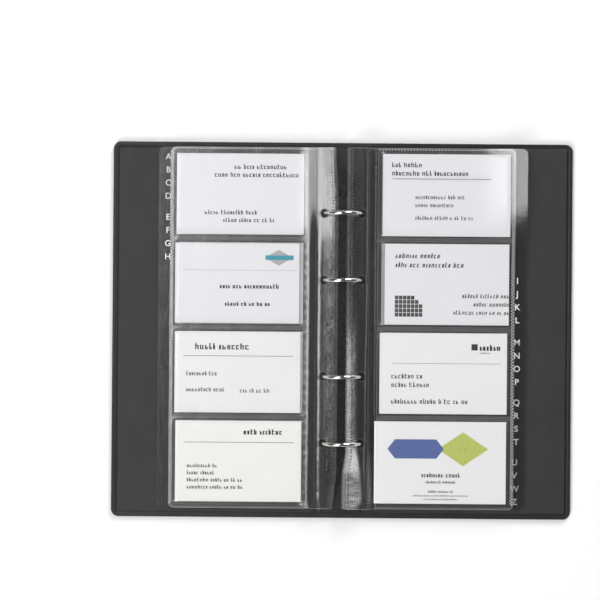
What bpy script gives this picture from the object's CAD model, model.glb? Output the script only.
"""Ring-bound business card album, open on its back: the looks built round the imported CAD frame."""

import math
import random

import bpy
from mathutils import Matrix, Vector
from mathutils.geometry import delaunay_2d_cdt


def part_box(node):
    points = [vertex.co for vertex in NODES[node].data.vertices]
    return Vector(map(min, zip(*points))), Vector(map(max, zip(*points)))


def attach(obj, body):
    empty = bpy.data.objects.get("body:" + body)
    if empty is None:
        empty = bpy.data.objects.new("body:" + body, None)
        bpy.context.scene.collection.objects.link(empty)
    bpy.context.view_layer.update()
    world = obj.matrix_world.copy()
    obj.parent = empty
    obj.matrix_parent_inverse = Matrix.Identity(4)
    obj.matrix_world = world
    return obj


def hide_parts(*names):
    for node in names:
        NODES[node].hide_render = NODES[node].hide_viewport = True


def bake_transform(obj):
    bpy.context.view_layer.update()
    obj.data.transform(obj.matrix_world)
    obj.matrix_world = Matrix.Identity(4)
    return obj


MM = 0.001
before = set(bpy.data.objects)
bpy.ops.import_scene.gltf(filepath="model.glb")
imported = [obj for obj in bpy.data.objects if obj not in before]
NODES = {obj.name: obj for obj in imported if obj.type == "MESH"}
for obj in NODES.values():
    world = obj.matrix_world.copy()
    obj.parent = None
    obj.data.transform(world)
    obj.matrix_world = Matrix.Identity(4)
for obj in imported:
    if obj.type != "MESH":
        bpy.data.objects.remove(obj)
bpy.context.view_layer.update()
scene = bpy.context.scene

# ---------------------------------------------------------------- camera, light, floor

CAMERA_HEIGHT = 1.8
CAMERA_XY = (-0.0285, 0.0204)
CAMERA_ROLL = math.radians(0.47)
FIELD = 0.407

camera_data = bpy.data.cameras.new("camera")
camera_data.sensor_width = 36
camera_data.lens = 36 * CAMERA_HEIGHT / FIELD
camera = bpy.data.objects.new("camera", camera_data)
camera.location = (CAMERA_XY[0], CAMERA_XY[1], CAMERA_HEIGHT)
camera.rotation_euler = (0, 0, CAMERA_ROLL)
scene.collection.objects.link(camera)
scene.camera = camera

scene.view_settings.view_transform = "Standard"
scene.cycles.transparent_max_bounces = 64
scene.cycles.max_bounces = 16
scene.cycles.sample_clamp_indirect = 4


def node_tree(data):
    data.use_nodes = True
    tree = data.node_tree
    tree.nodes.clear()
    return tree


def add(tree, kind, **values):
    """A node, with its inputs set by name."""
    node = tree.nodes.new(kind)
    for key, value in values.items():
        if key in ("operation", "blend_type", "data_type", "feature", "distance", "noise_dimensions"):
            setattr(node, key, value)
        else:
            node.inputs[key.replace("_", " ")].default_value = value
    return node


def softbox(name, place, size, power, size_y=None):
    """An area light that faces the middle of the album."""
    data = bpy.data.lights.new(name, "AREA")
    data.shape = "RECTANGLE"
    data.size = size
    data.size_y = size_y or size
    data.energy = power
    lamp = bpy.data.objects.new(name, data)
    lamp.location = place
    lamp.rotation_euler = (Vector((0, 0, 0)) - Vector(place)).to_track_quat("-Z", "Y").to_euler()
    scene.collection.objects.link(lamp)
    return lamp


softbox("key", (-0.66, 0.2, 1.75), 0.8, 14)
softbox("fill_back", (1.1, 2.0, 1.35), 1.2, 45, 1.2)
softbox("fill_front", (-1.1, -2.0, 1.5), 1.2, 43, 1.2)
softbox("fill_right", (1.5, 0.1, 1.75), 0.5, 1.6)

world = bpy.data.worlds.new("studio")
scene.world = world
tree = node_tree(world)
dim = add(tree, "ShaderNodeBackground", Color=(1, 1, 1, 1), Strength=0.1)
seen = add(tree, "ShaderNodeBackground", Color=(1, 1, 1, 1), Strength=1.0)
path = add(tree, "ShaderNodeLightPath")
both = tree.nodes.new("ShaderNodeMixShader")
tree.links.new(path.outputs["Is Camera Ray"], both.inputs[0])
tree.links.new(dim.outputs[0], both.inputs[1])
tree.links.new(seen.outputs[0], both.inputs[2])
tree.links.new(both.outputs[0], add(tree, "ShaderNodeOutputWorld").inputs[0])


# ---------------------------------------------------------------- materials


def material(name):
    found = bpy.data.materials.new(name)
    return found, node_tree(found)


def finish_material(tree, shader):
    tree.links.new(shader.outputs[0], add(tree, "ShaderNodeOutputMaterial").inputs[0])


def place(tree):
    """Object coordinates, in metres."""
    return add(tree, "ShaderNodeTexCoord").outputs["Object"]


def noise(tree, scale, detail=2.0, rough=0.5, where=None):
    node = add(tree, "ShaderNodeTexNoise", Scale=scale, Detail=detail, Roughness=rough)
    tree.links.new(where or place(tree), node.inputs["Vector"])
    return node.outputs["Fac"]


def remap(tree, value, low, high):
    """value from 0..1 to low..high."""
    node = add(tree, "ShaderNodeMapRange")
    node.inputs["To Min"].default_value = low
    node.inputs["To Max"].default_value = high
    tree.links.new(value, node.inputs["Value"])
    return node.outputs[0]


def ramp(tree, value, stops):
    node = tree.nodes.new("ShaderNodeValToRGB")
    node.color_ramp.elements[0].position, node.color_ramp.elements[0].color = stops[0]
    node.color_ramp.elements[1].position, node.color_ramp.elements[1].color = stops[-1]
    for position, colour in stops[1:-1]:
        node.color_ramp.elements.new(position).color = colour
    tree.links.new(value, node.inputs[0])
    return node.outputs[0]


def bump(tree, heights):
    """Bump nodes chained: (height socket, distance in metres, strength)."""
    normal = None
    for height, distance, strength in heights:
        node = add(tree, "ShaderNodeBump", Strength=strength)
        node.inputs["Distance"].default_value = distance
        tree.links.new(height, node.inputs["Height"])
        if normal:
            tree.links.new(normal, node.inputs["Normal"])
        normal = node.outputs[0]
    return normal


def grey(value, alpha=1.0):
    return (value, value, value, alpha)


def leatherette(name, shade, rough, grain):
    made, tree = material(name)
    cells = add(tree, "ShaderNodeTexVoronoi", Scale=1150.0)
    tree.links.new(place(tree), cells.inputs["Vector"])
    pores = ramp(tree, cells.outputs["Distance"], [(0.05, grey(0)), (0.55, grey(1))])
    mottle = noise(tree, 160, 3, 0.6)
    fine = noise(tree, 1500, 3, 0.6)
    shader = add(tree, "ShaderNodeBsdfPrincipled")
    colour = ramp(tree, noise(tree, 22, 4, 0.6), [
        (0.3, grey(shade * 0.88)), (0.7, (shade * 1.12, shade * 1.12, shade * 1.13, 1))])
    tree.links.new(colour, shader.inputs["Base Color"])
    tree.links.new(remap(tree, mottle, rough - 0.06, rough + 0.08), shader.inputs["Roughness"])
    shader.inputs["Specular IOR Level"].default_value = 0.42
    normal = bump(tree, [(pores, 0.00009 * grain, 0.7), (fine, 0.00006 * grain, 0.6),
                         (mottle, 0.0004 * grain, 0.35)])
    tree.links.new(normal, shader.inputs["Normal"])
    finish_material(tree, shader)
    return made


def film(name, haze, gloss, rough, dimple=1.0, clear=0.985):
    """Clear film: what is behind it, with a thin share of cloudiness and of reflection."""
    made, tree = material(name)
    through = add(tree, "ShaderNodeBsdfTransparent", Color=grey(clear))
    cloud = add(tree, "ShaderNodeBsdfDiffuse", Color=grey(0.9))
    shine = add(tree, "ShaderNodeBsdfGlossy", Color=grey(1.0), Roughness=rough)
    soft = noise(tree, 95, 3, 0.55)
    ripples = noise(tree, 420, 2, 0.5)
    normal = bump(tree, [(soft, 0.0011 * dimple, 0.35), (ripples, 0.0002 * dimple, 0.3)])
    tree.links.new(normal, shine.inputs["Normal"])
    facing = add(tree, "ShaderNodeLayerWeight", Blend=0.5).outputs["Facing"]
    power = add(tree, "ShaderNodeMath", operation="POWER")
    power.inputs[1].default_value = 4.0
    tree.links.new(facing, power.inputs[0])
    share = remap(tree, power.outputs[0], gloss, 0.6)
    cloudy = tree.nodes.new("ShaderNodeMixShader")
    tree.links.new(remap(tree, noise(tree, 60, 4, 0.6), haze * 0.6, haze * 1.4), cloudy.inputs[0])
    tree.links.new(through.outputs[0], cloudy.inputs[1])
    tree.links.new(cloud.outputs[0], cloudy.inputs[2])
    mixed = tree.nodes.new("ShaderNodeMixShader")
    tree.links.new(share, mixed.inputs[0])
    tree.links.new(cloudy.outputs[0], mixed.inputs[1])
    tree.links.new(shine.outputs[0], mixed.inputs[2])
    finish_material(tree, mixed)
    return made


def metal(name, shade, rough, metallic=1.0, streak=True):
    made, tree = material(name)
    shader = add(tree, "ShaderNodeBsdfPrincipled", Metallic=metallic)
    wear = noise(tree, 220, 4, 0.6)
    colour = ramp(tree, wear, [
        (0.3, (shade[0] * 0.92, shade[1] * 0.92, shade[2] * 0.92, 1)), (0.7, (*shade, 1))])
    tree.links.new(colour, shader.inputs["Base Color"])
    tree.links.new(remap(tree, wear, rough * 0.75, rough * 1.3), shader.inputs["Roughness"])
    if streak:
        tree.links.new(bump(tree, [(noise(tree, 900, 3, 0.6), 0.00003, 0.4)]), shader.inputs["Normal"])
    finish_material(tree, shader)
    return made


def paper(name, colour, grain=1.0):
    made, tree = material(name)
    shader = add(tree, "ShaderNodeBsdfPrincipled", Roughness=0.62)
    shader.inputs["Specular IOR Level"].default_value = 0.3
    low = tuple(c * 0.975 for c in colour)
    tinted = ramp(tree, noise(tree, 45, 5, 0.65), [(0.3, (*low, 1)), (0.7, (*colour, 1))])
    tree.links.new(tinted, shader.inputs["Base Color"])
    fibres = noise(tree, 1900, 4, 0.7)
    tree.links.new(bump(tree, [(fibres, 0.00003 * grain, 0.5)]), shader.inputs["Normal"])
    finish_material(tree, shader)
    return made


def ink(name, colour, rough=0.5):
    made, tree = material(name)
    shader = add(tree, "ShaderNodeBsdfPrincipled", Roughness=rough)
    low = tuple(c * 0.88 for c in colour)
    tinted = ramp(tree, noise(tree, 700, 3, 0.6), [(0.35, (*low, 1)), (0.65, (*colour, 1))])
    tree.links.new(tinted, shader.inputs["Base Color"])
    finish_material(tree, shader)
    return made


def foam():
    made, tree = material("open_cell_foam")
    shader = add(tree, "ShaderNodeBsdfPrincipled", Roughness=0.95)
    cells = add(tree, "ShaderNodeTexVoronoi", Scale=1400.0)
    tree.links.new(place(tree), cells.inputs["Vector"])
    tinted = ramp(tree, cells.outputs["Distance"], [
        (0.1, (0.42, 0.38, 0.27, 1)), (0.6, (0.62, 0.58, 0.45, 1))])
    tree.links.new(tinted, shader.inputs["Base Color"])
    tree.links.new(bump(tree, [(cells.outputs["Distance"], 0.0003, 0.8)]), shader.inputs["Normal"])
    finish_material(tree, shader)
    return made


LEATHER = leatherette("leatherette_grain", 0.024, 0.5, 2.4)
LINER = leatherette("leatherette_liner", 0.023, 0.5, 2.4)
LINER_SPINE = leatherette("leatherette_spine_liner", 0.013, 0.5, 2.4)
RIM = leatherette("leatherette_welded_rim", 0.011, 0.42, 0.45)
FILM = film("film_clear", 0.003, 0.019, 0.21, dimple=0.8)
FILM_UNDER = film("film_clear_under", 0.003, 0.009, 0.21, dimple=0.8)
FILM_FRONT = film("film_clear_pocket", 0.012, 0.016, 0.23, dimple=0.6)
DIVIDER = film("film_divider", 0.0006, 0.01, 0.2, dimple=0.5, clear=0.955)
STEP = film("film_step", 0.003, 0.004, 0.4, dimple=0.0)
EDGE = film("film_edge", 0.05, 0.02, 0.3)
WELD = film("film_weld", 0.4, 0.02, 0.35)
WELD_SOFT = film("film_weld_soft", 0.13, 0.01, 0.35, clear=0.8)
WELD_DOT = film("film_weld_dot", 0.1, 0.004, 0.4, clear=0.2)
CARD_COOL = paper("card_cool_white", (0.8, 0.8, 0.825))
CARD_PLAIN = paper("card_white", (0.845, 0.845, 0.85))
CARD_WARM = paper("card_warm_white", (0.88, 0.875, 0.85))
BOARD = paper("grey_board", (0.40, 0.36, 0.30), 3.0)
RAIL = metal("rail_black_nickel", (0.012, 0.012, 0.013), 0.26, 0.3)
STEEL = metal("plated_steel", (0.56, 0.56, 0.55), 0.32)
CHROME = metal("bright_nickel", (0.82, 0.80, 0.76), 0.09, 1.0, False)
INK = ink("ink_dark", (0.012, 0.012, 0.013))
INK_GREY = ink("ink_grey", (0.045, 0.045, 0.048))
INK_PALE = ink("ink_pale", (0.42, 0.42, 0.44))
INK_BLUE = ink("ink_blue", (0.075, 0.125, 0.36))
INK_GREEN = ink("ink_yellow_green", (0.52, 0.58, 0.12))
INK_TEAL = ink("ink_teal", (0.02, 0.32, 0.42))
LETTER = ink("ink_white", (0.85, 0.85, 0.85), 0.4)
FOAM = foam()


def dress(node, made):
    """Gives a CAD node its material."""
    obj = NODES[node]
    obj.data.materials.clear()
    obj.data.materials.append(made)


for name in NODES:
    if "board" in name:
        dress(name, BOARD)
    elif "foam" in name:
        dress(name, FOAM)
    elif name in ("ring_rail", "rail_rivets"):
        dress(name, RAIL)
    elif "toggle" in name:
        dress(name, STEEL)
    elif "half_ring" in name:
        dress(name, CHROME)
    elif "card" in name:
        dress(name, CARD_COOL)

# ---------------------------------------------------------------- mesh helpers


def smooth(t):
    t = min(1.0, max(0.0, t))
    return t * t * (3 - 2 * t)


def piece(name, verts, faces, materials, of_face=None, sharp=None, flat=False):
    """A mesh object from points in millimetres."""
    mesh = bpy.data.meshes.new(name)
    mesh.from_pydata([(x * MM, y * MM, z * MM) for x, y, z in verts], [], faces)
    for m in materials:
        mesh.materials.append(m)
    for i, polygon in enumerate(mesh.polygons):
        polygon.use_smooth = not flat
        if of_face:
            polygon.material_index = of_face[i]
    if sharp:
        for edge in mesh.edges:
            if tuple(sorted(edge.vertices)) in sharp:
                edge.use_edge_sharp = True
    mesh.update()
    obj = bpy.data.objects.new(name, mesh)
    scene.collection.objects.link(obj)
    return obj


def thick(verts, faces, depth, of_face):
    """A closed solid from an open sheet: its mirror depth below, and walls round its borders."""
    count = len(verts)
    sides = {}
    for f in faces:
        for a, b in zip(f, f[1:] + f[:1]):
            sides[(a, b)] = sides.get((a, b), 0) + 1
    borders = [(a, b) for a, b in sides if (b, a) not in sides]
    under = [(x, y, z - depth) for x, y, z in verts]
    bottom = [[v + count for v in reversed(f)] for f in faces]
    walls = [[b, a, a + count, b + count] for a, b in borders]
    sharp = set()
    for a, b in borders:
        sharp.add(tuple(sorted((a, b))))
        sharp.add((min(a, b) + count, max(a, b) + count))
    wall_material = max(of_face)
    kinds = list(of_face) + list(of_face) + [wall_material] * len(walls)
    return verts + under, faces + bottom + walls, kinds, sharp


def join(parts):
    """Several (verts, faces, kinds, sharp) as one."""
    verts, faces, kinds, sharp = [], [], [], set()
    for v, f, k, s in parts:
        base = len(verts)
        verts += v
        faces += [[i + base for i in q] for q in f]
        kinds += k
        sharp |= {(a + base, b + base) for a, b in s}
    return verts, faces, kinds, sharp


def mirrored(verts, faces, side):
    """The left side's copy of something built on the right."""
    if side > 0:
        return verts, faces
    return [(-x, y, z) for x, y, z in verts], [list(reversed(f)) for f in faces]


def stud(x, y, z, half_x, half_y, high, taper_x, taper_y, kind=0):
    """A low pyramid with a cut top; it stands down from z where high is below 0."""
    corners = ((-1, -1), (1, -1), (1, 1), (-1, 1))
    base = [(x + i * half_x, y + j * half_y, z) for i, j in corners]
    top = [(x + i * half_x * taper_x, y + j * half_y * taper_y, z + high) for i, j in corners]
    faces = [[3, 2, 1, 0], [4, 5, 6, 7]]
    faces += [[i, (i + 1) % 4, 4 + (i + 1) % 4, 4 + i] for i in range(4)]
    if high < 0:
        faces = [list(reversed(f)) for f in faces]
    return base + top, faces, [kind] * 6, set()


def box_mm(node):
    low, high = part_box(node)
    return [v / MM for v in low], [v / MM for v in high]


SIDES = {"right": 1, "left": -1}
COVER = {"right": "back_cover", "left": "front_cover"}
RING_YS = sorted((sum(b[1] for b in box_mm(f"right_half_ring_{i}")) / 2 for i in range(1, 5)),
                 reverse=True)
PAGE_LOW, PAGE_HIGH = (b[1] for b in box_mm("right_top_pocket_panel"))
PAGE_Y = (PAGE_LOW + PAGE_HIGH) / 2
PAGE_EDGE = box_mm("right_top_pocket_panel")[1][0]
DIVIDER_EDGE = box_mm("right_divider_1")[1][0]
COVER_EDGE = box_mm("back_cover_skin")[1][0]
COVER_TOP = box_mm("back_cover_skin")[1][1]

# ---------------------------------------------------------------- covers

RIM_W = 3.5
CORNER_R = 5.0
HINGE_X = 15.5
HINGE_HALF = 1.9
THICKNESS = 3.0
SKIN = 0.35


def pad(d):
    """0 on the welded rim, 1 on the padding, for a distance d from the outline."""
    return smooth((d - RIM_W + 0.4) / 1.2)


def hinge_pad(x):
    """The same across the hinge groove."""
    return smooth((abs(x - HINGE_X) - 1.5) / 1.0)


def wrap_heights(x, y):
    d = min(COVER_EDGE - x, COVER_TOP - abs(y))
    return d, pad(d) * hinge_pad(x)


def soft_waves(x, y, seed):
    return (math.sin(x * 0.061 + seed) * math.sin(y * 0.047 + 2 * seed)
            + 0.5 * math.sin(x * 0.13 + y * 0.09 + seed))


def outer_z(x, y):
    """The outside of the album, which faces the table."""
    d, p = wrap_heights(x, y)
    inward = min(d - 4, abs(x - HINGE_X) - 2)
    crown = 0.22 * math.exp(-max(0.0, inward) / 7)
    groove = 0.14 * math.exp(-((d - 2.6) / 0.35) ** 2)
    return 1.12 * (1 - p) + crown * p + groove * (1 - p) + 0.03 * (1 + soft_waves(x, y, 1.3)) * p * 0.5


def inner_z(x, y):
    """The liner, which faces up when the album lies open."""
    d, p = wrap_heights(x, y)
    inward = min(d - 4, abs(x - HINGE_X) - 2)
    crown = 0.16 * math.exp(-max(0.0, inward) / 5)
    groove = 0.14 * math.exp(-((d - 2.6) / 0.35) ** 2)
    waves = 0.02 * soft_waves(x, y, 0.4)
    return 1.88 + (THICKNESS - 1.9) * p - crown * p - groove * (1 - p) + min(0.0, waves) * p


def breaks(start, end, near_start, near_end, step):
    """Values from start to end: fine near each end, then about step apart."""
    low = [start + v for v in near_start]
    high = [end - v for v in near_end]
    a, b = max(low), min(high)
    count = max(1, round((b - a) / step))
    between = [a + (b - a) * i / count for i in range(count + 1)]
    return sorted({round(v, 4) for v in low + high + between})


FINE = (0, 0.35, 0.9, 1.6, 2.2, 2.45, 2.7, 2.95, 3.15, 3.4, 3.65, 3.9, 4.15, 4.4, 5.0, 6.2, 8.5, 12, 18)
WRAP_X = sorted(set(breaks(0, HINGE_X, (0, 4, 8, 11), (0,), 3)
                    + [HINGE_X + v * 0.3 for v in range(-12, 13)]
                    + breaks(HINGE_X + 3.6, COVER_EDGE, (0, 1.2, 3, 6, 10), FINE, 5)))
WRAP_Y = breaks(-COVER_TOP, COVER_TOP, FINE, FINE, 5)


def rounded_corner(x, y):
    """Bends a square grid's outer corners into arcs of CORNER_R."""
    a = (x - (COVER_EDGE - CORNER_R)) / CORNER_R
    b = (abs(y) - (COVER_TOP - CORNER_R)) / CORNER_R
    if a <= 0 or b <= 0:
        return x, y
    scale = max(a, b) / math.hypot(a, b)
    return (COVER_EDGE - CORNER_R + a * scale * CORNER_R,
            math.copysign(COVER_TOP - CORNER_R + b * scale * CORNER_R, y))


def wrap(name, side, height, faces_up, materials):
    """One half of the outer skin or of the liner, from the middle of the spine to the free edge."""
    verts, faces, kinds = [], [], []
    for x in WRAP_X:
        for y in WRAP_Y:
            px, py = rounded_corner(x, y)
            verts.append((px, py, height(x, y) + (0 if faces_up else SKIN)))
    rows = len(WRAP_Y)
    for i in range(len(WRAP_X) - 1):
        for j in range(rows - 1):
            a = i * rows + j
            faces.append([a, a + rows, a + rows + 1, a + 1])
            x, y = (WRAP_X[i] + WRAP_X[i + 1]) / 2, (WRAP_Y[j] + WRAP_Y[j + 1]) / 2
            d, _ = wrap_heights(x, y)
            in_spine = faces_up and x < HINGE_X - HINGE_HALF
            kinds.append(1 if d <= RIM_W + 0.1 else 2 if in_spine else 0)
    verts, faces, kinds, sharp = thick(verts, faces, SKIN, kinds)
    verts, faces = mirrored(verts, faces, side)
    return piece(name, verts, faces, materials, kinds, sharp)


for side_name, side in SIDES.items():
    cover = COVER[side_name]
    start, end = (side * (HINGE_X - HINGE_HALF) * MM, 0, 0), (side * (HINGE_X + HINGE_HALF) * MM, 0, 0)
    skin = wrap(f"{side_name}_padded_skin", side, outer_z, False, [LEATHER, RIM])
    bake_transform(skin)
    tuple(start)
    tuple(end)
    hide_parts(f"{cover}_skin", *(["spine_skin"] if side > 0 else []))
    liner = wrap(f"{side_name}_inner_liner", side, inner_z, True, [LINER, RIM, LINER_SPINE])
    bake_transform(liner)
    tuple(start)
    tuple(end)
    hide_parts(f"{cover}_liner", *(["spine_liner"] if side > 0 else []))

# Cross ribs welded into the hinge grooves, outside and inside.
RIB_END, RIB_PITCH, RIB_HIGH = 34.0, 1.0, 0.16
RIB_HALF = 0.95, 0.3
RIB_TAPER = 0.85, 0.5
GROOVE_OUTSIDE, GROOVE_INSIDE = 1.14, 1.86


def rib(y, z, high):
    return stud(HINGE_X, y, z, *RIB_HALF, high, *RIB_TAPER)


for side_name, side in SIDES.items():
    count = round(2 * (COVER_TOP - RIB_END) / RIB_PITCH)
    rows = [RIB_END - COVER_TOP + i * RIB_PITCH for i in range(count + 1)]
    verts, faces, kinds, _ = join([rib(y, GROOVE_OUTSIDE, -RIB_HIGH) for y in rows]
                                  + [rib(y, GROOVE_INSIDE, RIB_HIGH) for y in rows])
    verts, faces = mirrored(verts, faces, side)
    ribs = piece(f"{side_name}_hinge_ribs", verts, faces, [RIM], kinds, flat=True)
    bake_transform(ribs)

# ---------------------------------------------------------------- films

FILM_T = 0.12
CUT_EDGE = 0.32
STEP_SLOPE = 1.0
HOLE_R = 3.0
HOLE_OUT = 1.0
SHEET_CORNER = 4.0
FLAT_END, SLOPE_END = 15.5, 23.2
SHEET_DROP = 4.1
MOUTH_X = 23.6
POCKET_END = 114.0
POCKET_PITCH, POCKET_H = 60.2, 56.6
ROW_YS = [PAGE_Y + POCKET_PITCH * k / 2 for k in (3, 1, -1, -3)]
RING_R, RING_Z, PIVOT_X, PIVOT_Z, OPEN_ANGLE = 12.3, 16.0, 9.6, 5.4, math.radians(15)


def hole_x(z):
    """Where a hole at height z lies: a little outside the middle of the closed and the open wire."""
    open_x = PIVOT_X * (1 - math.cos(OPEN_ANGLE)) + (RING_Z - PIVOT_Z) * math.sin(OPEN_ANGLE)
    open_z = PIVOT_Z + (RING_Z - PIVOT_Z) * math.cos(OPEN_ANGLE) + PIVOT_X * math.sin(OPEN_ANGLE)
    closed = math.sqrt(RING_R ** 2 - (RING_Z - z) ** 2)
    return (closed + open_x + math.sqrt(RING_R ** 2 - (open_z - z) ** 2)) / 2 + HOLE_OUT


def page_v(y):
    """-1 at the foot of a page, 1 at its head."""
    return (y - PAGE_Y) / (PAGE_HIGH - PAGE_Y)


def slope_down(x):
    """1 over the rail, 0 out on the cover."""
    return 1 - smooth((x - FLAT_END) / (SLOPE_END - FLAT_END))


# The left films' margin stands up as a ramp at the head of the page, and ripples.
RAMP_X, RAMP_SLOPE = 5.7, 0.19
RAMP_BEND_X, RAMP_MORE = 18.3, 0.065
RAMP_TOP = SHEET_DROP + 0.3
RIPPLE = 0.12
# The right films' margin bulges at the foot of the page, and their outer corner curls up at its head.
BULGE_X, BULGE_HIGH, BULGE_LOW, BULGE_POWER = 1.5, 3.0, 1.1, 1.4
CREST_X, CREST_WANDER = 11, 5.5
CORNER_X, CORNER_SPAN, CORNER_HIGH, CORNER_POWER = 88, 30, 4.3, 1.6


def left_lift(v, x, y):
    ramp = max(0.0, RAMP_TOP - RAMP_SLOPE * max(0.0, x - RAMP_X) - RAMP_MORE * max(0.0, x - RAMP_BEND_X))
    ripple = RIPPLE * math.sin(y * 0.42) * smooth((v + 0.1) / 0.4) * max(0.0, (18.5 - x) / 13)
    return smooth((v - 0.34) / 0.4) * (ramp - SHEET_DROP * slope_down(x)) + ripple


def right_lift(v, x):
    crest = CREST_X + CREST_WANDER * smooth((-v - 0.62) / 0.3)
    up = 1 - (1 - min(1.0, max(0.0, (x - BULGE_X) / (crest - BULGE_X)))) ** BULGE_POWER
    foot = smooth((-v - 0.58) / 0.24)
    tall = BULGE_HIGH * foot + BULGE_LOW * smooth((0.25 - v) / 0.5) * (1 - foot)
    bulge = tall * up * (1 - smooth((x - crest) / (SLOPE_END - crest)))
    curl = max(0.0, (x - CORNER_X) / CORNER_SPAN) ** CORNER_POWER
    return bulge + CORNER_HIGH * smooth((v - 0.33) / 0.4) * curl


def lift(side, x, y):
    """How far the loose films stand away from their plain drape."""
    v = page_v(y)
    return left_lift(v, x, y) if side < 0 else right_lift(v, x)


def flare(side, x, y):
    """How far the inner edge's ends wander sideways, away from the middle when positive."""
    v = page_v(y)
    if side < 0:
        most = 1.6 * smooth((v - 0.68) / 0.32) + 2.6 * smooth((-v - 0.78) / 0.22)
    else:
        most = -2.3 * smooth((-v - 0.68) / 0.15)
    return x + most * (1 - smooth((x - 3) / 14))


def drape(z_in, z_out, x):
    return z_out + (z_in - z_out) * slope_down(x)


def rounded_outline(x0, x1, y0, y1, r, inset=0.0, step=4.0):
    """A loop of points round a page, with its outer corners rounded."""
    x0, x1, y0, y1, r = x0 + inset, x1 - inset, y0 + inset, y1 - inset, max(r - inset, 0.3)
    loop = []

    def line(a, b):
        count = max(1, round(math.dist(a, b) / step))
        loop.extend((a[0] + (b[0] - a[0]) * i / count, a[1] + (b[1] - a[1]) * i / count)
                    for i in range(count))

    def arc(cx, cy, start):
        turns = [start + math.pi / 2 * i / 6 for i in range(6)]
        loop.extend((cx + r * math.cos(t), cy + r * math.sin(t)) for t in turns)

    line((x0, y0), (x1 - r, y0))
    arc(x1 - r, y0 + r, -math.pi / 2)
    line((x1, y0 + r), (x1, y1 - r))
    arc(x1 - r, y1 - r, 0)
    line((x1 - r, y1), (x0, y1))
    line((x0, y1), (x0, y0))
    return loop


def inside(loop, x, y):
    odd = False
    for (ax, ay), (bx, by) in zip(loop, loop[1:] + loop[:1]):
        if (ay > y) != (by > y) and x < (bx - ax) * (y - ay) / (by - ay) + ax:
            odd = not odd
    return odd


def circle(cx, cy, r, count=28):
    return [(cx + r * math.cos(2 * math.pi * i / count), cy + r * math.sin(2 * math.pi * i / count))
            for i in range(count)]


# How closely a film's mesh is spaced: finer over the rings' side, where it bends.
FINE_STEP, COARSE_STEP, FINE_END, ROW_STEP = 1.6, 5.0, 24, 3.4
NEAR_CELL = 2.0


def film_part(side, x0, x1, height, holes=(), lines=(), lips=True, outer_edge=True):
    """One thin sheet as (verts, faces, kinds, sharp).

    Kind 0 is the film, 1 a steep step, 2 its cut edge.
    """
    y0, y1, edge, depth = PAGE_LOW, PAGE_HIGH, CUT_EDGE, FILM_T
    outline = rounded_outline(x0, x1, y0, y1, SHEET_CORNER)
    inner = rounded_outline(x0, x1, y0, y1, SHEET_CORNER, edge)
    rings = [circle(cx, cy, HOLE_R) for cx, cy in holes]
    rims = [circle(cx, cy, HOLE_R + edge) for cx, cy in holes]
    coords, edges, fixed = [], [], []
    for loop in [outline, inner, *rings, *rims, *lines]:
        base = len(coords)
        coords += loop
        closed = loop not in lines or loop[0] == loop[-1]
        edges += [(base + i, base + i + 1) for i in range(len(loop) - 1)]
        if closed and loop not in lines:
            edges.append((base + len(loop) - 1, base))
        fixed += loop
    near = {}
    for px, py in fixed:
        near.setdefault((int(px // NEAR_CELL), int(py // NEAR_CELL)), []).append((px, py))

    def clear_of_lines(px, py, gap):
        ci, cj = int(px // NEAR_CELL), int(py // NEAR_CELL)
        return all(abs(px - qx) > gap or abs(py - qy) > gap
                   for i in (-1, 0, 1) for j in (-1, 0, 1)
                   for qx, qy in near.get((ci + i, cj + j), ()))

    x_steps = []
    x = x0 + FINE_STEP
    while x < x1 - 1:
        x_steps.append(x)
        x += FINE_STEP if x < FINE_END else COARSE_STEP
    rows = round((y1 - y0) / ROW_STEP)
    for i, px in enumerate(x_steps):
        for j in range(1, rows):
            py = y0 + (y1 - y0) * (j + 0.25 * (i % 2)) / rows
            if px > FINE_END and j % 2:
                continue
            if inside(inner, px, py) and clear_of_lines(px, py, 0.8):
                if all(math.dist((px, py), h) > HOLE_R + 1.0 for h in holes):
                    coords.append((px, py))
    found = delaunay_2d_cdt([Vector(c) for c in coords], edges, [], 0, 1e-5)
    points, triangles = found[0], found[2]
    verts = [(flare(side, p.x, p.y), p.y, height(p.x, p.y) + depth / 2) for p in points]
    faces, kinds = [], []
    for f in triangles:
        cx = sum(points[v].x for v in f) / len(f)
        cy = sum(points[v].y for v in f) / len(f)
        if not inside(outline, cx, cy):
            continue
        reach = min([math.dist((cx, cy), h) for h in holes] or [99])
        if reach < HOLE_R - 0.05:
            continue
        by_rings = cx < MOUTH_X and abs(cy - PAGE_Y) < PAGE_HIGH - PAGE_Y - 1
        on_edge = not inside(inner, cx, cy) and (outer_edge or by_rings)
        on_edge = on_edge or lips and reach < HOLE_R + edge * 0.8
        a, b, c = (Vector((points[v].x, points[v].y, height(points[v].x, points[v].y))) for v in f[:3])
        across = (b - a).cross(c - a)
        steep = math.hypot(across.x, across.y) > STEP_SLOPE * abs(across.z)
        faces.append(list(f))
        kinds.append(2 if on_edge else 1 if steep else 0)
    used = sorted({v for f in faces for v in f})
    index = {v: i for i, v in enumerate(used)}
    verts = [verts[v] for v in used]
    faces = [[index[v] for v in f] for f in faces]
    return thick(verts, faces, depth, kinds)


def rect_lines(x0, x1, y0, y1, step=5.0, open_start=False):
    """A rectangle that the film has edges along; open_start leaves out the side at x0."""
    corners = [(x0, y0), (x1, y0), (x1, y1), (x0, y1)]
    if not open_start:
        corners.append((x0, y0))
    line = []
    for a, b in zip(corners, corners[1:]):
        count = max(1, round(math.dist(a, b) / step))
        line += [(a[0] + (b[0] - a[0]) * i / count, a[1] + (b[1] - a[1]) * i / count)
                 for i in range(count)]
    line.append(corners[-1])
    return line


def pocket_puff(x, y):
    """0 on the welds, 1 where the front film stands over a card."""
    best = 0.0
    for row in ROW_YS:
        d = min(POCKET_H / 2 - abs(y - row), POCKET_END - x)
        best = max(best, smooth(d / 0.55))
    return best


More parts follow.
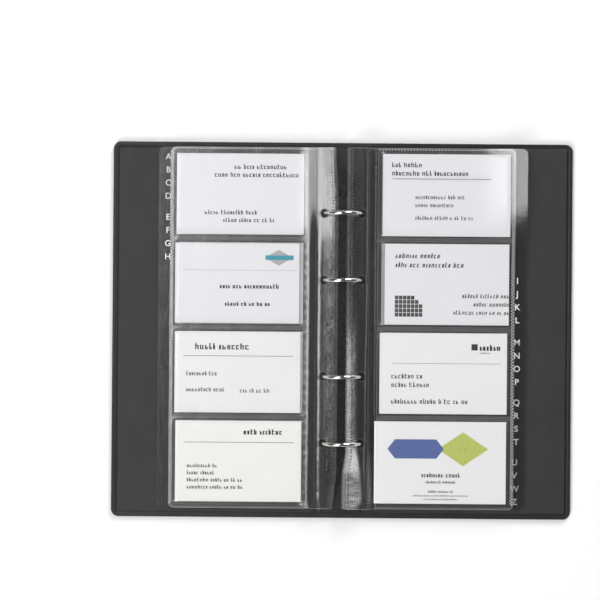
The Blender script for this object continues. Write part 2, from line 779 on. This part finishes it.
POCKET_LINES = [line for row in ROW_YS for line in (
    rect_lines(MOUTH_X + 0.4, POCKET_END, row - POCKET_H / 2, row + POCKET_H / 2, open_start=True),
    rect_lines(MOUTH_X + 0.4, POCKET_END - 0.55, row - POCKET_H / 2 + 0.55, row + POCKET_H / 2 - 0.55,
               open_start=True))]


def front_height(side, z_out):
    """The pocket film: down on the welds, up over the cards, and a little open at the mouth."""
    def height(x, y):
        p = pocket_puff(x, y)
        mouth = 0.12 * math.exp(-max(0.0, x - MOUTH_X) / 2.5) * p
        wave = 0.05 * (1 + math.sin(x * 0.21 + y * 0.05) * math.sin(y * 0.17)) * p
        return z_out + 0.26 + 0.66 * p + mouth + wave + lift(side, x, y)
    return height


def layer_z(node, margin):
    """A layer's height out on the cover and in over the rail."""
    low, high = box_mm(node)
    return low[2], high[2] - margin


def strip_up(y, x, rise):
    """The turned-up inner margin of a top sheet, which lies flat at the foot."""
    return rise * max(0.0, (13 - x) / 7.3) * (1 - smooth((-page_v(y) - 0.6) / 0.15))


def sheet_back(side, z_in, z_out, x_in, edge, rise=0.0):
    def height(x, y):
        return drape(z_in + 0.2, z_out + 0.1, x) + strip_up(y, x, rise) + lift(side, x, y)
    holes = [(hole_x(z_in + 0.2), y) for y in RING_YS]
    return film_part(side, x_in, edge, height, holes, lips=rise > 0, outer_edge=edge < DIVIDER_EDGE)


def film_piece(name, parts, side, front=None):
    verts, faces, kinds, sharp = join(parts)
    verts, faces = mirrored(verts, faces, side)
    return piece(name, verts, faces, [front or FILM, STEP, EDGE], kinds, sharp)


for side_name, side in SIDES.items():
    for layer in (2, 3):
        node = f"{side_name}_pocket_sheet_{layer}"
        z_out, z_in = layer_z(node, 0.4)
        x_in = box_mm(node)[0][0] if side > 0 else -box_mm(node)[1][0]
        parts = [sheet_back(side, z_in, z_out, x_in, PAGE_EDGE),
                 film_part(side, MOUTH_X, PAGE_EDGE, front_height(side, z_out), lines=POCKET_LINES)]
        made = film_piece(f"{side_name}_sheet_film_{layer}", parts, side, FILM_UNDER)
        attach(made, f"{side_name}_pages")
        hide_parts(node)
    for node in sorted(n for n in NODES if n.startswith(f"{side_name}_divider_")):
        z_out, z_in = layer_z(node, 0.3)
        x_in = box_mm(node)[0][0] if side > 0 else -box_mm(node)[1][0]
        back = sheet_back(side, z_in, z_out, x_in, DIVIDER_EDGE)
        made = film_piece(f"{node}_film", [back], side, DIVIDER)
        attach(made, f"{side_name}_pages")
        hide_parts(node)

# ---------------------------------------------------------------- top sheets, cards, welds

PANEL_Z = {s: box_mm(f"{s}_top_pocket_panel")[0][2] for s in SIDES}
STRIP_BOX = {s: box_mm(f"{s}_top_binding_strip") for s in SIDES}
STRIP_RISE = 0.6
TICK_TAPER = 0.55
DOT_PITCH = 2.1
DOT_ROWS = 6.7, 17.8


def tick(x, y, z, half_x, half_y, high, kind=0):
    """One dot of a weld."""
    return stud(x, y, z, half_x, half_y, high, TICK_TAPER, TICK_TAPER, kind)


def ticks_piece(name, side, ticks):
    """Weld dots as one piece; a dot of kind 0 is cloudy, 1 fainter, 2 dull and dark."""
    verts, faces, kinds, _ = join(ticks)
    verts, faces = mirrored(verts, faces, side)
    return piece(name, verts, faces, [WELD, WELD_SOFT, WELD_DOT], kinds, flat=True)


def spread(start, end, pitch):
    count = int((end - start) / pitch)
    slack = (end - start - count * pitch) / 2
    return [start + slack + pitch * i for i in range(count + 1)]


for side_name, side in SIDES.items():
    z_panel = PANEL_Z[side_name]
    low, high = STRIP_BOX[side_name]
    x_in = low[0] if side > 0 else -high[0]
    z_strip = high[2] - 0.4 - STRIP_RISE
    back = sheet_back(side, z_strip, z_panel, x_in, PAGE_EDGE, STRIP_RISE)
    sheet = film_piece(f"{side_name}_top_sheet_film", [back], side)
    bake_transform(sheet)
    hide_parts(f"{side_name}_top_binding_strip")
    over = front_height(side, z_panel)
    front = film_piece(f"{side_name}_top_pocket_film",
                       [film_part(side, MOUTH_X, PAGE_EDGE, over, lines=POCKET_LINES)], side, FILM_FRONT)
    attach(front, f"{side_name}_top_page")
    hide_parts(f"{side_name}_top_pocket_panel")

    def on_film(x, y, *size):
        return tick(x, y, over(x, y) + FILM_T / 2 - 0.01, *size)

    marks = []
    for y in spread(PAGE_LOW + 3, PAGE_HIGH - 3, DOT_PITCH):
        marks.append(on_film(PAGE_EDGE - 1.0, y, 0.35, 0.5, 0.09))
        marks.append(on_film(PAGE_EDGE - 1.95, y + 1.05, 0.35, 0.5, 0.09))
    for x in spread(MOUTH_X + 1, PAGE_EDGE - 3.4, DOT_PITCH):
        for edge_y in (PAGE_HIGH - 1.1, PAGE_LOW + 1.1):
            marks.append(on_film(x, edge_y, 0.5, 0.32, 0.09, 0 if edge_y > PAGE_Y else 1))
    for k in (1, 0, -1):
        y = PAGE_Y + k * POCKET_PITCH
        for x in spread(MOUTH_X + 1, POCKET_END + 1, 1.0):
            for row in (-1, 0, 1):
                marks.append(on_film(x + 0.5 * (row % 2), y + 1.05 * row, 0.28, 0.32, 0.07, 1))
    welds = ticks_piece(f"{side_name}_pocket_welds", side, marks)
    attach(welds, f"{side_name}_top_page")

    def strip_height(x, y):
        up = strip_up(y, x, STRIP_RISE) + lift(side, x, y)
        return drape(z_strip + 0.2, z_panel + 0.1, x) + up + FILM_T / 2 - 0.01

    marks = []
    for y in spread(PAGE_LOW + 1.5, PAGE_HIGH - 1.5, DOT_PITCH):
        for x in DOT_ROWS:
            if min(math.dist((x, y), (hole_x(z_strip), r)) for r in RING_YS) > HOLE_R + 0.8:
                marks.append(tick(flare(side, x, y), y, strip_height(x, y), 0.52, 0.45, 0.08, 2))
    rows = ticks_piece(f"{side_name}_margin_welds", side, marks)
    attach(rows, f"{side_name}_top_strip")

# ---------------------------------------------------------------- cards and their print

CARD_T = 0.36
CARD_LIFT = 0.32


def card_mesh(name, box, z, side, made):
    """A card as a thin slab with small rounded corners, which follows the film's lift."""
    x0, x1, y0, y1 = box
    cols = [x0 + (x1 - x0) * i / 16 for i in range(17)]
    rows = [y0 + (y1 - y0) * i / 10 for i in range(11)]
    verts = [(x, y, z + CARD_T + lift(side, x, y)) for x in cols for y in rows]
    faces = [[i * 11 + j, (i + 1) * 11 + j, (i + 1) * 11 + j + 1, i * 11 + j + 1]
             for i in range(16) for j in range(10)]
    verts, faces, kinds, sharp = thick(verts, faces, CARD_T, [0] * len(faces))
    verts, faces = mirrored(verts, faces, side)
    return piece(name, verts, faces, [made], kinds, sharp)


class Print:
    """Flat marks on one card, placed in millimetres right of and below its upper left corner."""

    def __init__(self, box, z, side, seed):
        x0, x1, y0, y1 = box
        self.left = x0 if side > 0 else -x1
        self.top = y1
        self.width, self.height = x1 - x0, y1 - y0
        self.z, self.side = z, side
        self.random = random.Random(seed)
        self.verts, self.faces, self.kinds = [], [], []

    def shape(self, points, kind, up=0.0):
        base = len(self.verts)
        at = []
        for x, y in points:
            wx, wy = self.left + x, self.top - y
            at.append((wx, wy, self.z + 0.035 + up + lift(self.side, abs(wx), wy)))
        low = [(x, y, z - 0.03) for x, y, z in at]
        count = len(at)
        area = sum(a[0] * b[1] - b[0] * a[1] for a, b in zip(at, at[1:] + at[:1]))
        order = list(range(count)) if area > 0 else list(range(count - 1, -1, -1))
        self.verts += [at[i] for i in order] + [low[i] for i in order]
        self.faces.append([base + i for i in range(count)])
        self.faces.append([base + count + i for i in range(count - 1, -1, -1)])
        for i in range(count):
            j = (i + 1) % count
            self.faces.append([base + i, base + count + i, base + count + j, base + j])
        self.kinds += [kind] * (count + 2)

    def bar(self, x, y, w, h, kind=0, up=0.0, slant=0.0):
        self.shape([(x + slant, y), (x + w + slant, y), (x + w, y + h), (x, y + h)], kind, up)

    def words(self, x, y, lengths, cap, kind=0, weight=0.2, slant=0.0, right=False, centre=False):
        """Greeked words: strokes with a type's rhythm that spell nothing.

        x is the line's left end, its right end or its middle.
        """
        gap, space = cap * 0.2, cap * 0.42
        glyphs, at = [], 0.0
        for count in lengths:
            for _ in range(count):
                width = cap * self.random.choice((0.34, 0.42, 0.5, 0.5, 0.58))
                tall = self.random.random()
                glyphs.append((at, width, tall, self.random.randrange(4)))
                at += width + gap
            at += space
        total = at - space - gap
        start = x - total if right else x - total / 2 if centre else x
        stroke = cap * weight
        for g_at, width, tall, form in glyphs:
            gx = start + g_at
            top = y if tall > 0.72 else y + cap * 0.3
            body = y + cap * 0.3
            lean = slant * cap
            self.bar(gx, top, stroke, y + cap - top, kind, 0, lean)
            if form in (0, 1):
                self.bar(gx + width - stroke, body, stroke, cap * 0.7, kind, 0, lean * 0.7)
            cross_x, cross_w, cross_h = gx + stroke * 0.6, width - stroke * 0.6, stroke * 0.75
            if form in (0, 2):
                self.bar(cross_x, body, cross_w, cross_h, kind, 0.001, lean * 0.2)
            if form in (1, 2, 3):
                self.bar(cross_x, y + cap - cross_h, cross_w, cross_h, kind, 0.001)
            if form == 3:
                self.bar(cross_x, y + cap * 0.6, width * 0.8, stroke * 0.7, kind, 0.001)

    def made(self, name, materials):
        return piece(name, self.verts, self.faces, materials, self.kinds, flat=True)


def polygon(cx, cy, rx, ry, count, turn=0.0):
    return [(cx + rx * math.cos(turn + 2 * math.pi * i / count),
             cy + ry * math.sin(turn + 2 * math.pi * i / count)) for i in range(count)]


def print_right_1(p):
    p.words(6, 5.6, (3, 5), 3.3, weight=0.2)
    p.words(6, 11.2, (8, 3, 11), 3.3, weight=0.2)
    p.bar(6, 16.6, 67, 0.3)
    p.words(22, 27.6, (12, 3, 3), 2.7, 1, 0.19)
    p.words(22, 33.0, (5, 9), 2.7, 1, 0.19)
    p.words(22, 41.6, (7, 5, 1, 2, 2, 2), 2.7, 1, 0.19)


def print_right_2(p):
    p.words(7, 6.2, (7, 6), 3.4, 1, 0.21, 0.22)
    p.words(7, 12.4, (4, 3, 9, 3), 3.4, 1, 0.21, 0.22)
    for i in range(7):
        for j in range(5):
            if i - j < 5:
                p.bar(7 + i * 2.7, 35 + j * 2.9, 2.35, 2.55, 1)
    p.words(84, 33.4, (6, 7, 3), 2.9, 1, 0.2, 0.2, right=True)
    p.words(84, 39.0, (5, 7), 2.9, 1, 0.2, 0.2, right=True)
    p.words(84, 44.6, (7, 4, 2, 2, 2), 2.9, 1, 0.2, 0.2, right=True)


def print_right_3(p):
    p.bar(62, 7.2, 4.2, 4.2, 0)
    p.words(67.6, 7.6, (6,), 4.0, 0, 0.26)
    p.words(67.6, 12.6, (10,), 1.1, 1, 0.2)
    p.bar(8, 20.4, 74, 0.22, 1)
    p.words(8, 27.4, (7, 2), 3.3, 1, 0.2)
    p.words(8, 33.2, (5, 6), 3.3, 1, 0.2)
    p.words(8, 44.4, (8, 5, 1, 2, 2, 2), 3.3, 1, 0.2)


def print_right_4(p):
    p.shape([(14, 12), (42, 12), (47, 18.5), (42, 25), (14, 25), (9, 18.5)], 2, 0.002)
    p.shape(polygon(60, 18.5, 17, 11.5, 4, 0), 3, 0.001)
    p.words(28.5, 16.4, (5,), 4.2, 4, 0.17, centre=True)
    p.words(60, 16.8, (5,), 3.2, 4, 0.13, 0.1, centre=True)
    p.words(45, 34.6, (8, 5), 3.0, 0, 0.22, centre=True)
    p.words(45, 39.8, (8, 7), 1.9, 0, 0.22, centre=True)
    p.words(45, 46.2, (5, 6, 2), 1.8, 0, 0.22, centre=True)
    p.words(45, 49.4, (14, 2, 5, 9, 4, 4, 3, 3), 1.15, 1, 0.19, centre=True)
    p.words(45, 51.8, (4, 9, 3, 12), 1.15, 1, 0.19, centre=True)


def print_left_1(p):
    p.words(74, 7.2, (2, 4, 9), 3.2, 0, 0.2, right=True)
    p.words(82, 12.6, (4, 3, 6, 11), 3.2, 0, 0.2, right=True)
    p.words(54, 38.2, (5, 8, 4), 2.9, 0, 0.2, right=True)
    p.words(66, 43.4, (5, 5, 2, 2, 2), 2.9, 0, 0.2, right=True)


def print_left_2(p):
    p.shape(polygon(70, 9.8, 9.5, 5.4, 4, 0), 1, 0.0)
    p.bar(61, 8.2, 19, 3.1, 2, 0.002)
    p.bar(6, 18.2, 76, 0.25, 1)
    p.words(70, 27.6, (4, 3, 11), 3.1, 0, 0.25, right=True)
    p.words(64, 39.6, (5, 2, 2, 2, 2), 2.9, 0, 0.25, right=True)


def print_left_3(p):
    p.words(50, 8.0, (5, 7), 4.2, 0, 0.22, right=True)
    p.bar(6, 16.4, 74, 0.3)
    p.words(8, 27.0, (8, 3), 2.8, 1, 0.2)
    p.words(8, 37.8, (9, 4), 2.8, 1, 0.2)
    p.words(64, 38.4, (3, 2, 2, 2), 2.8, 1, 0.2, right=True)


def print_left_4(p):
    p.words(72, 5.6, (4, 7), 3.6, 0, 0.24, right=True)
    p.bar(6, 14.4, 74, 0.3)
    p.words(8, 29.0, (9, 2), 2.6, 1, 0.21)
    p.words(8, 33.8, (5, 6), 2.6, 1, 0.21)
    p.words(8, 38.6, (8, 5, 2, 2, 2), 2.6, 1, 0.21)
    p.words(8, 43.4, (8, 5, 2, 2, 2), 2.6, 1, 0.21)


PRINTS = {
    ("right", 1): (print_right_1, CARD_COOL, [INK, INK_GREY]),
    ("right", 2): (print_right_2, CARD_COOL, [INK, INK_GREY]),
    ("right", 3): (print_right_3, CARD_PLAIN, [INK, INK_GREY]),
    ("right", 4): (print_right_4, CARD_PLAIN, [INK, INK_GREY, INK_BLUE, INK_GREEN, LETTER]),
    ("left", 1): (print_left_1, CARD_COOL, [INK, INK_GREY]),
    ("left", 2): (print_left_2, CARD_COOL, [INK, INK_PALE, INK_TEAL]),
    ("left", 3): (print_left_3, CARD_PLAIN, [INK, INK_GREY]),
    ("left", 4): (print_left_4, CARD_WARM, [INK, INK_GREY]),
}

for (side_name, row), (draw, stock, inks) in PRINTS.items():
    side = SIDES[side_name]
    node = f"{side_name}_card_{row}"
    low, high = box_mm(node)
    xs = sorted((abs(low[0]), abs(high[0])))
    box = (xs[0], xs[1], low[1], high[1])
    z = PANEL_Z[side_name] + CARD_LIFT
    card = card_mesh(f"{node}_stock", box, z, side, stock)
    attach(card, node)
    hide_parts(node)
    marks = Print(box, z + CARD_T, side, 10 * row + (side > 0))
    draw(marks)
    printed = marks.made(f"{node}_print", inks)
    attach(printed, node)

# ---------------------------------------------------------------- index letters

LETTER_SIZE = 5.7
LETTER_PITCH = 8.9
LETTER_GROUPS = {
    "right_divider_1": ("IJKL", 34.3, 118.4),
    "right_divider_2": ("MNOP", -7.4, 118.4),
    "right_divider_3": ("QRST", -48.0, 118.4),
    "right_divider_4": ("UVWZ", -88.6, 117.6),
    "left_divider_1": ("EFGH", 75.7, -118.2),
    "left_divider_2": ("ABCD", 116.7, -118.2),
}

for node, (letters, first_y, x) in LETTER_GROUPS.items():
    side = 1 if node.startswith("right") else -1
    z_out, z_in = layer_z(node, 0.3)
    for i, letter in enumerate(letters):
        curve = bpy.data.curves.new(f"{node}_{letter}", "FONT")
        curve.body = letter
        curve.size = LETTER_SIZE * MM
        curve.align_x, curve.align_y = "CENTER", "CENTER"
        curve.extrude = 0.012 * MM
        curve.offset = 0.00008
        obj = bpy.data.objects.new(f"{node}_{letter}", curve)
        y = first_y - i * LETTER_PITCH
        z = z_out + 0.1 + FILM_T / 2 + 0.02 + lift(side, abs(x), y)
        obj.location = (x * MM, y * MM, z * MM)
        scene.collection.objects.link(obj)
        bpy.context.view_layer.update()
        mesh = bpy.data.meshes.new_from_object(obj)
        mesh.transform(obj.matrix_world)
        bpy.data.objects.remove(obj)
        solid = bpy.data.objects.new(f"{node}_letter_{letter}", mesh)
        mesh.materials.clear()
        mesh.materials.append(LETTER)
        scene.collection.objects.link(solid)
        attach(solid, f"{'right' if side > 0 else 'left'}_pages")

# ---------------------------------------------------------------- floor

FLOOR_REACH, FLOOR_Z = 4.0, -0.0004
floor_mesh = bpy.data.meshes.new("floor")
floor_mesh.from_pydata([(i * FLOOR_REACH, j * FLOOR_REACH, FLOOR_Z)
                        for i, j in ((-1, -1), (1, -1), (1, 1), (-1, 1))], [], [(0, 1, 2, 3)])
floor = bpy.data.objects.new("floor", floor_mesh)
scene.collection.objects.link(floor)
made, tree = material("floor_white")
shader = add(tree, "ShaderNodeBsdfDiffuse", Color=grey(0.96))
finish_material(tree, shader)
floor_mesh.materials.append(made)
